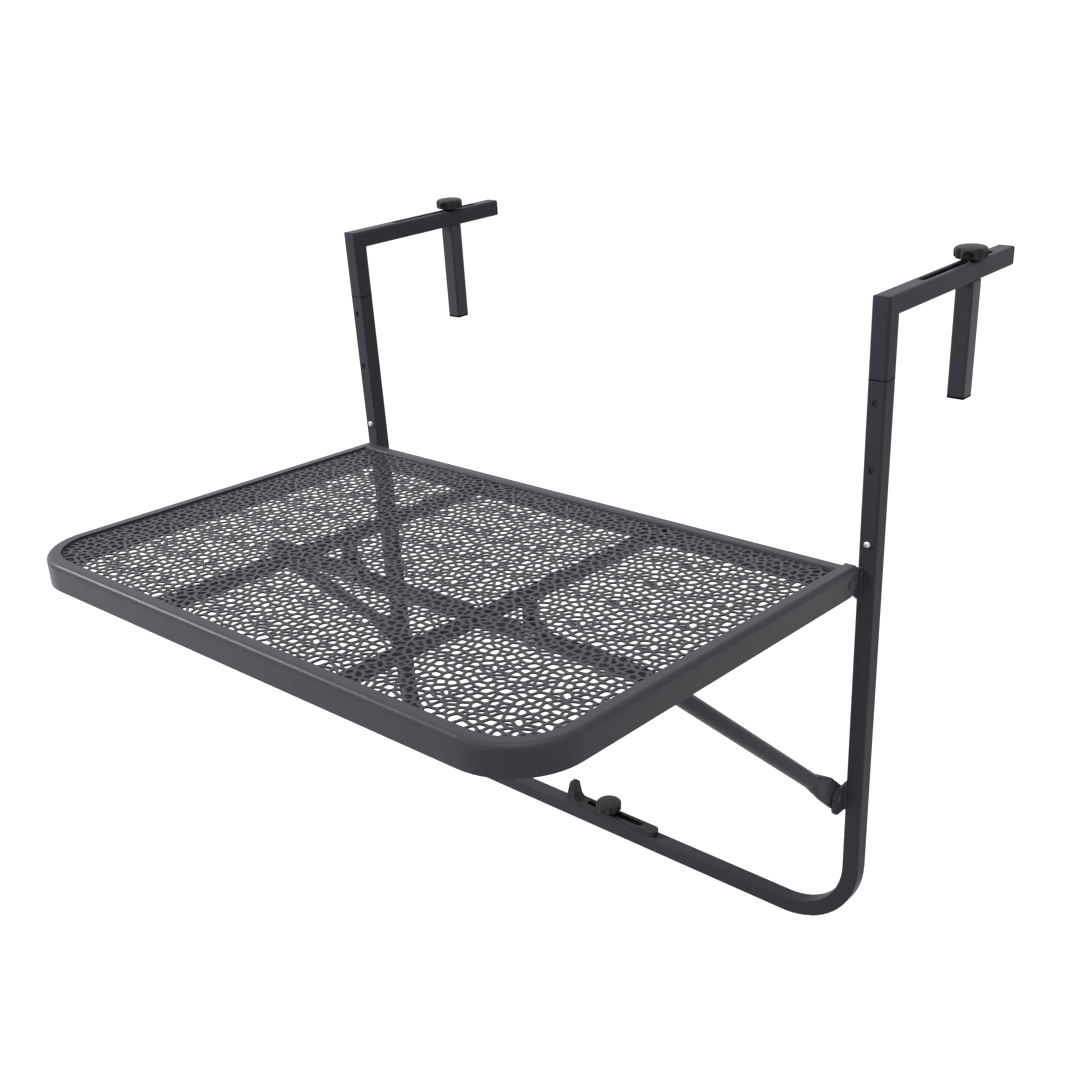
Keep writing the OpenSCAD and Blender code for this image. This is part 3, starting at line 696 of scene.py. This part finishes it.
# %% [markdown]
# ## Beads on the table top
# The rear rail is welded between the side rails, the cross bars between rear rail and
# front rail, and the brackets of the clips to the bars. These paths are drawn in the
# table's own frame. Only the x of rail and bars comes from their CAD boxes, as the lean
# doesn't change it.

# %% Table beads
REAR_RAIL = (-0.016, -0.004)
REAR_RAIL_LOW = -0.021
BAR_HALF = 0.005
BAR_ENDS = (-0.3975, -0.016)
BAR_TOP = PANEL_TOP - PANEL_THICK
BAR_DEEP = 0.011
BAR_LOW = BAR_TOP - BAR_DEEP
CATCH_Y = -0.200
CATCH_HALF = 0.008
CATCH_BELOW = 0.00275
CATCH_TOP = BAR_TOP - CATCH_BELOW
BAR_BEAD_R = 0.0010


def rear_rail_beads():
    """A bead round the end of the rear rail, open at the top, where it is ground flush."""
    x = cad_end("rear_rail", HIGH, "x")
    front, rear = REAR_RAIL
    return [[(x, front, -BEAD_R), (x, front, REAR_RAIL_LOW), (x, rear, REAR_RAIL_LOW), (x, rear, -BEAD_R)]]


def bar_beads(node):
    """A bead round each end of a cross bar, open under the sheet, and two beside its bracket."""
    middle = cad_end(node, HIGH, "x") - BAR_HALF
    left, right = middle - BAR_HALF, middle + BAR_HALF
    ends = [
        [(left, y, BAR_TOP), (left, y, BAR_LOW), (right, y, BAR_LOW), (right, y, BAR_TOP)]
        for y in BAR_ENDS
    ]
    bracket = [
        [(right, CATCH_Y + side * CATCH_HALF, CATCH_TOP), (right, CATCH_Y + side * CATCH_HALF, BAR_LOW)]
        for side in (-1, 1)
    ]
    return ends + bracket


table_paths = both_sides(rear_rail_beads()) + bar_beads("cross_bar_left") + bar_beads("cross_bar_right")
table_beads = make_beads("table_weld_beads", "table", table_paths, radius=BAR_BEAD_R, place=table_place)

# %% [markdown]
# ## Painted shadow in the seams between stems and posts
# Each stem stands on the end of its post, and the joint shows as a thin dark line, shade
# in the narrow gap. The two CAD tubes touch without a gap. A mask in both coats could draw
# the line, but it would stay behind on the post. So a narrow black band lies round the
# joint as a painted shadow of the gap, a hair proud of the coat, and rises with the stem.

# %% A band round a square tube
TUBE_ROUND = 0.002
GAP_SHADOW_HEIGHT = 0.0007
GAP_SHADOW_PROUD = 0.00008
GAP_SHADOW_DEEP = 0.0006
ARC_POINTS = 8
POST_X = cad_end("frame_tube", HIGH, "x") - TUBE / 2
STEM_LOW = cad_end("frame_tube", HIGH, "z")


def square_loop(half, rounding):
    """Points round a square with rounded corners: four quarter circles, one after the other."""
    quarters = np.arange(4) * np.pi / 2
    corner = quarters + np.pi / 4
    hub = (half - rounding) * np.sqrt(2) * np.stack([np.cos(corner), np.sin(corner)], axis=-1)
    angle = quarters[:, None] + np.linspace(0, np.pi / 2, ARC_POINTS)
    loop = hub[:, None] + rounding * np.stack([np.cos(angle), np.sin(angle)], axis=-1)
    return loop.reshape(-1, 2)


def gap_shadow_band(name, side, body):
    """A ring with a rectangular section: two loops of the tube's outline at two heights."""
    outer = square_loop(TUBE / 2 + GAP_SHADOW_PROUD, TUBE_ROUND + GAP_SHADOW_PROUD)
    inner = square_loop(TUBE / 2 - GAP_SHADOW_DEEP, TUBE_ROUND - GAP_SHADOW_DEEP)
    low, high = STEM_LOW, STEM_LOW + GAP_SHADOW_HEIGHT
    rows = [(inner, low), (outer, low), (outer, high), (inner, high)]
    grid = np.stack([np.column_stack([loop, np.full(len(loop), height)]) for loop, height in rows])
    columns = grid.shape[1]
    faces = grid_faces(len(rows) + 1, columns) % (len(rows) * columns)
    middle = np.array([side * POST_X, -TUBE / 2, 0])
    band = make_mesh(name, grid.reshape(-1, 3) + middle, faces)
    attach(band, body)
    return band


# Black bands painted as the shadow in the gaps.
gap_shadows = [
    gap_shadow_band("stem_gap_shadow_left", -1, "hook_left"),
    gap_shadow_band("stem_gap_shadow_right", 1, "hook_right"),
]
print("seams:", [seam.name for seam in gap_shadows])

# %% [markdown]
# ## The floor
# The photograph is a cut-out on white. A pale floor far below keeps a soft shadow, and
# light of its own lifts it to white, only for rays from the camera and from shiny
# surfaces, so that it doesn't light the table from below.

# %% Tools for materials


def new_material(name):
    """A material with nodes, its links and its Principled shader at hand."""
    material = bpy.data.materials.new(name)
    material.use_nodes = True
    tree = material.node_tree
    return material, tree, tree.nodes["Principled BSDF"]


def seen_directly(tree):
    """An output that is 1 for rays from the camera and from shiny surfaces, and 0 for others."""
    path = tree.nodes.new("ShaderNodeLightPath")
    seen = tree.nodes.new("ShaderNodeMath")
    seen.operation = "MAXIMUM"
    tree.links.new(path.outputs["Is Camera Ray"], seen.inputs[0])
    tree.links.new(path.outputs["Is Glossy Ray"], seen.inputs[1])
    return seen.outputs[0]


print("material tools:", new_material.__name__, seen_directly.__name__)

# %% Floor
FLOOR_BELOW = 0.25
FLOOR_REACH = 80.0
FLOOR_GREY = 0.42
FLOOR_ROUGHNESS = 0.9
FLOOR_LIFT = 0.85


def floor_material():
    """Pale paint, lifted to white for camera and mirror rays, so that a shadow still shows."""
    material, tree, shader = new_material("pale_floor")
    shader.inputs["Base Color"].default_value = (FLOOR_GREY, FLOOR_GREY, FLOOR_GREY, 1)
    shader.inputs["Roughness"].default_value = FLOOR_ROUGHNESS
    shader.inputs["Emission Color"].default_value = (1, 1, 1, 1)
    lift = tree.nodes.new("ShaderNodeMath")
    lift.operation = "MULTIPLY"
    lift.inputs[1].default_value = FLOOR_LIFT
    tree.links.new(seen_directly(tree), lift.inputs[0])
    tree.links.new(lift.outputs[0], shader.inputs["Emission Strength"])
    return material


def make_floor():
    """One large square below the lowest point of the table."""
    low = cad_box[0][2] - FLOOR_BELOW
    corners = np.array([[-1, -1, 0], [1, -1, 0], [1, 1, 0], [-1, 1, 0]]) * FLOOR_REACH + [0, 0, low]
    floor = make_mesh("floor", corners, np.array([[0, 1, 2, 3]]))
    floor.data.materials.append(floor_material())
    return floor


floor = make_floor()
print("floor at", round(floor.data.vertices[0].co.z, 3))

# %% [markdown]
# ## Lamps and background
# The studio is plain: one wide light from above does most of the work, two weak soft
# lamps stand at the side and in front, and a smaller one from the left draws the gleam
# along the edges. The background is white to the camera and in reflections, but lights
# the table only a little.

# %% Background
AMBIENT = 0.05


def make_world():
    """White for what the camera and mirrors see, a soft grey for what lights the table."""
    world = bpy.data.worlds.new("studio")
    bpy.context.scene.world = world
    world.use_nodes = True
    tree = world.node_tree
    background = tree.nodes["Background"]
    background.inputs["Color"].default_value = (1, 1, 1, 1)
    level = tree.nodes.new("ShaderNodeMapRange")
    level.inputs["To Min"].default_value = AMBIENT
    level.inputs["To Max"].default_value = 1.0
    tree.links.new(seen_directly(tree), level.inputs["Value"])
    tree.links.new(level.outputs["Result"], background.inputs["Strength"])


make_world()
print("background:", bpy.context.scene.world.name)

# %% Lamps
TABLE_MIDDLE = Vector((0, -0.2, -0.3))


def aimed(name, data, place, target):
    """A lamp object at a place, turned to face the target."""
    lamp = bpy.data.objects.new(name, data)
    bpy.context.scene.collection.objects.link(lamp)
    away = Vector(place) - Vector(target)
    lamp.matrix_world = Matrix.Translation(place) @ away.to_track_quat("Z", "Y").to_matrix().to_4x4()
    return lamp


def soft_lamp(name, place, size, level):
    """A square lamp that faces the table. Level 1 shows a colour as it is written."""
    data = bpy.data.lights.new(name, "AREA")
    data.size = size
    data.energy = level * np.pi**2 * (Vector(place) - TABLE_MIDDLE).length_squared
    return aimed(name, data, place, TABLE_MIDDLE)


def sky_lamp(name, place, spread, level):
    """A far lamp that lights table and floor evenly, as wide in the sky as the spread."""
    data = bpy.data.lights.new(name, "SUN")
    data.angle = np.radians(spread)
    data.energy = level * np.pi
    return aimed(name, data, place, TABLE_MIDDLE)


lamps = [
    sky_lamp("key", place=(0.6, -0.6, 3.5), spread=50, level=0.50),
    soft_lamp("side_light", place=(4.0, -0.6, 0.6), size=2.5, level=0.05),
    soft_lamp("front_light", place=(-0.5, -4.5, 0.6), size=2.5, level=0.08),
    soft_lamp("edge_light", place=(-2.6, -1.3, 1.5), size=0.7, level=0.60),
]
bpy.context.scene.view_settings.view_transform = "Standard"
print("lamps:", [lamp.name for lamp in lamps])

# %% [markdown]
# ## Shared effects
# Every finish on the table has a fine grain, slow changes of shade and edges that are a
# little rounder, with a painted highlight that makes them lighter than the flats. They could
# be built anew in each material, but then they drift apart. So they are two node groups that
# are built once.

# %% Tools for node groups


def new_group(name, inputs, outputs):
    """An empty node group with named sockets."""
    group = bpy.data.node_groups.new(name, "ShaderNodeTree")
    for label, kind, value in inputs:
        socket = group.interface.new_socket(label, in_out="INPUT", socket_type=kind)
        socket.default_value = value
    for label, kind in outputs:
        group.interface.new_socket(label, in_out="OUTPUT", socket_type=kind)
    return group, group.nodes.new("NodeGroupInput"), group.nodes.new("NodeGroupOutput")


def object_noise(group, detail):
    """A noise on the object's own coordinates, so that it moves with the piece."""
    place = group.nodes.new("ShaderNodeTexCoord")
    noise = group.nodes.new("ShaderNodeTexNoise")
    noise.inputs["Detail"].default_value = detail
    group.links.new(place.outputs["Object"], noise.inputs["Vector"])
    return noise


def product(group, one, two):
    """An output that is the product of two others."""
    times = group.nodes.new("ShaderNodeMath")
    times.operation = "MULTIPLY"
    group.links.new(one, times.inputs[0])
    group.links.new(two, times.inputs[1])
    return times.outputs[0]


print("node tools:", new_group.__name__, object_noise.__name__, product.__name__)

# %% Grain
GRAIN_SIZE = 1200.0
GRAIN_DETAIL = 2.0
PATCH_SIZE = 14.0
SHADE_DETAIL = 5.0


def grain_group():
    """A fine noise for bumps and a broad noise for changes of shade."""
    group, given, result = new_group(
        "grain",
        [("Grain Size", "NodeSocketFloat", GRAIN_SIZE), ("Patch Size", "NodeSocketFloat", PATCH_SIZE)],
        [("Height", "NodeSocketFloat"), ("Shade", "NodeSocketFloat")],
    )
    noises = [("Grain Size", "Height", GRAIN_DETAIL), ("Patch Size", "Shade", SHADE_DETAIL)]
    for label, output, detail in noises:
        noise = object_noise(group, detail)
        group.links.new(given.outputs[label], noise.inputs["Scale"])
        group.links.new(noise.outputs["Fac"], result.inputs[output])
    return group


grain = grain_group()
print("node group:", grain.name)

# %% Edges
EDGE_WIDTH = 0.0008
EDGE_SAMPLES = 4
# Where the painted highlight on the edges starts, where it is full, and the size of its patches.
HIGHLIGHT_START = 0.99
HIGHLIGHT_FULL = 0.80
HIGHLIGHT_PATCH = 60.0
HIGHLIGHT_DETAIL = 4.0


def edge_group():
    """Mask of a painted edge highlight: how far a rounded copy of the surface turns away from it, 1 on sharp
    edges, and its normal.
    """
    group, given, result = new_group(
        "edge_highlight",
        [("Width", "NodeSocketFloat", EDGE_WIDTH), ("Amount", "NodeSocketFloat", 1.0)],
        [("Mask", "NodeSocketFloat"), ("Soft Normal", "NodeSocketVector")],
    )
    bevel = group.nodes.new("ShaderNodeBevel")
    bevel.samples = EDGE_SAMPLES
    group.links.new(given.outputs["Width"], bevel.inputs["Radius"])
    group.links.new(bevel.outputs["Normal"], result.inputs["Soft Normal"])
    surface = group.nodes.new("ShaderNodeNewGeometry")
    dot = group.nodes.new("ShaderNodeVectorMath")
    dot.operation = "DOT_PRODUCT"
    group.links.new(bevel.outputs["Normal"], dot.inputs[0])
    group.links.new(surface.outputs["Normal"], dot.inputs[1])
    turned = group.nodes.new("ShaderNodeMapRange")
    turned.inputs["From Min"].default_value = HIGHLIGHT_START
    turned.inputs["From Max"].default_value = HIGHLIGHT_FULL
    group.links.new(dot.outputs["Value"], turned.inputs["Value"])
    noise = object_noise(group, HIGHLIGHT_DETAIL)
    noise.inputs["Scale"].default_value = HIGHLIGHT_PATCH
    broken = product(group, turned.outputs["Result"], noise.outputs["Fac"])
    group.links.new(product(group, broken, given.outputs["Amount"]), result.inputs["Mask"])
    return group


edge_highlight = edge_group()
print("node group:", edge_highlight.name)

# %% [markdown]
# ## How a finish is put together
# A finish is a shade between two close colours, an uneven gloss, a fine bump, and edges
# that turn towards a lighter third colour, a painted highlight. Each material below only has
# to say its colours and how strong each effect is.

# %% Groups and colours in a material


def place_group(tree, group, **values):
    """A group node with its inputs set, named with underscores for spaces."""
    node = tree.nodes.new("ShaderNodeGroup")
    node.node_tree = group
    for label, value in values.items():
        node.inputs[label.replace("_", " ")].default_value = value
    return node


def blend_colour(tree, mask, low, high):
    """A colour between a low one, a value or another output, and a high one, by a mask."""
    mix = tree.nodes.new("ShaderNodeMix")
    mix.data_type = "RGBA"
    if isinstance(low, tuple):
        mix.inputs["A"].default_value = (*low, 1)
    else:
        tree.links.new(low, mix.inputs["A"])
    mix.inputs["B"].default_value = (*high, 1)
    tree.links.new(mask, mix.inputs["Factor"])
    return mix.outputs["Result"]


print("colour tools:", place_group.__name__, blend_colour.__name__)

# %% A finish from the shared effects
BUMP_DEPTH = 0.0002


def finish_material(
    name, dark, light, highlight_colour, roughness, grain_size, bump, metallic=0.0, highlight_amount=0.6, gleam=0.16, soft=EDGE_WIDTH
):
    """A finish with a change of shade, a fine bump, uneven gloss and soft edges made lighter by a painted
    highlight.
    """
    material, tree, shader = new_material(name)
    grains = place_group(tree, grain, Grain_Size=grain_size)
    edges = place_group(tree, edge_highlight, Amount=highlight_amount, Width=soft)
    shade = blend_colour(tree, grains.outputs["Shade"], dark, light)
    # The edges blend towards the lighter colour: a painted highlight.
    tree.links.new(blend_colour(tree, edges.outputs["Mask"], shade, highlight_colour), shader.inputs["Base Color"])
    gloss = tree.nodes.new("ShaderNodeMapRange")
    gloss.inputs["To Min"].default_value = roughness[0]
    gloss.inputs["To Max"].default_value = roughness[1]
    tree.links.new(grains.outputs["Shade"], gloss.inputs["Value"])
    tree.links.new(gloss.outputs["Result"], shader.inputs["Roughness"])
    relief = tree.nodes.new("ShaderNodeBump")
    relief.inputs["Strength"].default_value = bump
    relief.inputs["Distance"].default_value = BUMP_DEPTH
    tree.links.new(grains.outputs["Height"], relief.inputs["Height"])
    tree.links.new(edges.outputs["Soft Normal"], relief.inputs["Normal"])
    tree.links.new(relief.outputs["Normal"], shader.inputs["Normal"])
    shader.inputs["Metallic"].default_value = metallic
    shader.inputs["Specular IOR Level"].default_value = gleam
    return material


finishes = {}
print("finishes so far:", len(finishes))

# %% [markdown]
# ## Powder coat on the top and the small steel
# The steel is powder coated in a dark grey with a breath of blue. The powder melts into a
# satin skin with a fine orange peel, and the edges get a painted highlight, which makes them
# look lighter. A plain dark colour would look like plastic, so grain, gloss and edges all
# vary.

# %% Powder coat
# The lighter colour of the painted highlight along the edges.
COAT_HIGHLIGHT = (0.105, 0.105, 0.118)
COAT_GRAIN = 1500
COAT_BUMP = 0.25

finishes["coat"] = finish_material(
    "powder_coat", dark=(0.066, 0.064, 0.078), light=(0.075, 0.073, 0.088), highlight_colour=COAT_HIGHLIGHT,
    roughness=(0.31, 0.40), grain_size=COAT_GRAIN, bump=COAT_BUMP,
)
print("finish:", finishes["coat"].name)

# %% [markdown]
# ## The duller coat on frame and hooks
# The same powder on the thin square tubes shows less mirror light at the shallow angles
# that the camera has on their sides. Weaker lamps could darken them, but the top would
# then go dark as well. So the frame and the hooks have a rougher coat with less gleam, and
# their colour is painted a little lighter than the top's, as painted light for the lost gleam.
# The hooks' wider soft edge stands for the mitred corner, which is ground round.

# %% Dull powder coat
# The same powder's colours, painted a little lighter than the top's to make up for the gleam it loses.
DULL_DARK_LIGHTENED = (0.072, 0.070, 0.085)
DULL_LIGHT_LIGHTENED = (0.081, 0.079, 0.095)
DULL_ROUGHNESS = (0.36, 0.45)
DULL_GLEAM = 0.05

finishes["frame_coat"] = finish_material(
    "frame_powder_coat", dark=DULL_DARK_LIGHTENED, light=DULL_LIGHT_LIGHTENED, highlight_colour=COAT_HIGHLIGHT, roughness=DULL_ROUGHNESS,
    grain_size=COAT_GRAIN, bump=COAT_BUMP, highlight_amount=0.4, gleam=DULL_GLEAM,
)
finishes["hook_coat"] = finish_material(
    "hook_powder_coat", dark=DULL_DARK_LIGHTENED, light=DULL_LIGHT_LIGHTENED, highlight_colour=COAT_HIGHLIGHT, roughness=DULL_ROUGHNESS,
    grain_size=COAT_GRAIN, bump=COAT_BUMP, highlight_amount=0.3, gleam=DULL_GLEAM, soft=0.0028,
)
print("finishes:", finishes["frame_coat"].name, finishes["hook_coat"].name)

# %% [markdown]
# ## Moulded plastic
# Knobs and foot clamp are moulded in black nylon. The tool leaves a very fine, even
# grain, so the bump is finer and weaker than on the steel, and the gloss is lower.

# %% Dark plastic
# Its lighter edge colour is a painted highlight.
finishes["plastic"] = finish_material(
    "dark_plastic", dark=(0.031, 0.031, 0.036), light=(0.039, 0.039, 0.045), highlight_colour=(0.05, 0.05, 0.05),
    roughness=(0.38, 0.52), grain_size=2600, bump=0.15,
)
print("finish:", finishes["plastic"].name)

# %% [markdown]
# ## Black end caps
# The caps in the tube ends and the seams are the darkest lines in the picture; the caps are
# black plastic, and the bands in the seams are a painted shadow of the gap. They get a deep
# black with almost no gleam, or white reflections would hide them.

# %% Black caps
# Its lighter edge colour is a painted highlight.
finishes["cap"] = finish_material(
    "black_cap_plastic", dark=(0.004, 0.004, 0.005), light=(0.007, 0.007, 0.008),
    highlight_colour=(0.010, 0.010, 0.010), roughness=(0.45, 0.55), grain_size=2600, bump=0.15, gleam=0.03,
)
print("finish:", finishes["cap"].name)

# %% [markdown]
# ## Pale nylon
# The spring clips under the top are uncoloured nylon: milky, a little yellow, with a soft
# gloss. They are small and in shade, so a slight change of tone is enough.

# %% Pale nylon
# Its lighter edge colour is a painted highlight.
finishes["nylon"] = finish_material(
    "pale_nylon", dark=(0.60, 0.60, 0.58), light=(0.66, 0.66, 0.64), highlight_colour=(0.72, 0.72, 0.70),
    roughness=(0.35, 0.5), grain_size=1800, bump=0.1,
)
print("finish:", finishes["nylon"].name)

# %% [markdown]
# ## Bright steel
# Snap buttons and studs are zinc plated and polished by use. As metal they show mostly
# what they mirror, so the uneven gloss does the work.

# %% Bright steel
# Its lighter edge colour is a painted highlight.
finishes["steel"] = finish_material(
    "bright_steel", dark=(0.50, 0.50, 0.51), light=(0.60, 0.60, 0.61), highlight_colour=(0.7, 0.7, 0.7),
    roughness=(0.25, 0.4), grain_size=900, bump=0.2, metallic=1.0,
)
print("finish:", finishes["steel"].name)

# %% [markdown]
# ## Who wears what
# The record names a material slot for each CAD node. A few nodes get a finish of their
# own in place of their slot's, and the new pieces follow their neighbours.

# %% Dressing
slots = {part["node"]: part["material_slot"] for part in frame["record"]["subparts"]}
SPECIAL_FINISH = {
    "frame_tube": "frame_coat",
    "hook_left": "hook_coat",
    "hook_right": "hook_coat",
    "arm_cap_left": "cap",
    "arm_cap_right": "cap",
    "drop_cap_left": "cap",
    "drop_cap_right": "cap",
}
# The bands in the seams are painted shadow and wear the black of the caps.
NEW_PIECES = {"coat": [sheet, frame_beads, table_beads], "plastic": knobs, "cap": gap_shadows}


def dress(piece, finish):
    """Puts one finish on all of a piece."""
    piece.data.materials.clear()
    piece.data.materials.append(finishes[finish])


for name, node in nodes.items():
    dress(node, SPECIAL_FINISH.get(name, slots[name]))
for finish, pieces in NEW_PIECES.items():
    for piece in pieces:
        dress(piece, finish)
print("dressed:", len(nodes), "CAD nodes and", sum(map(len, NEW_PIECES.values())), "new pieces")
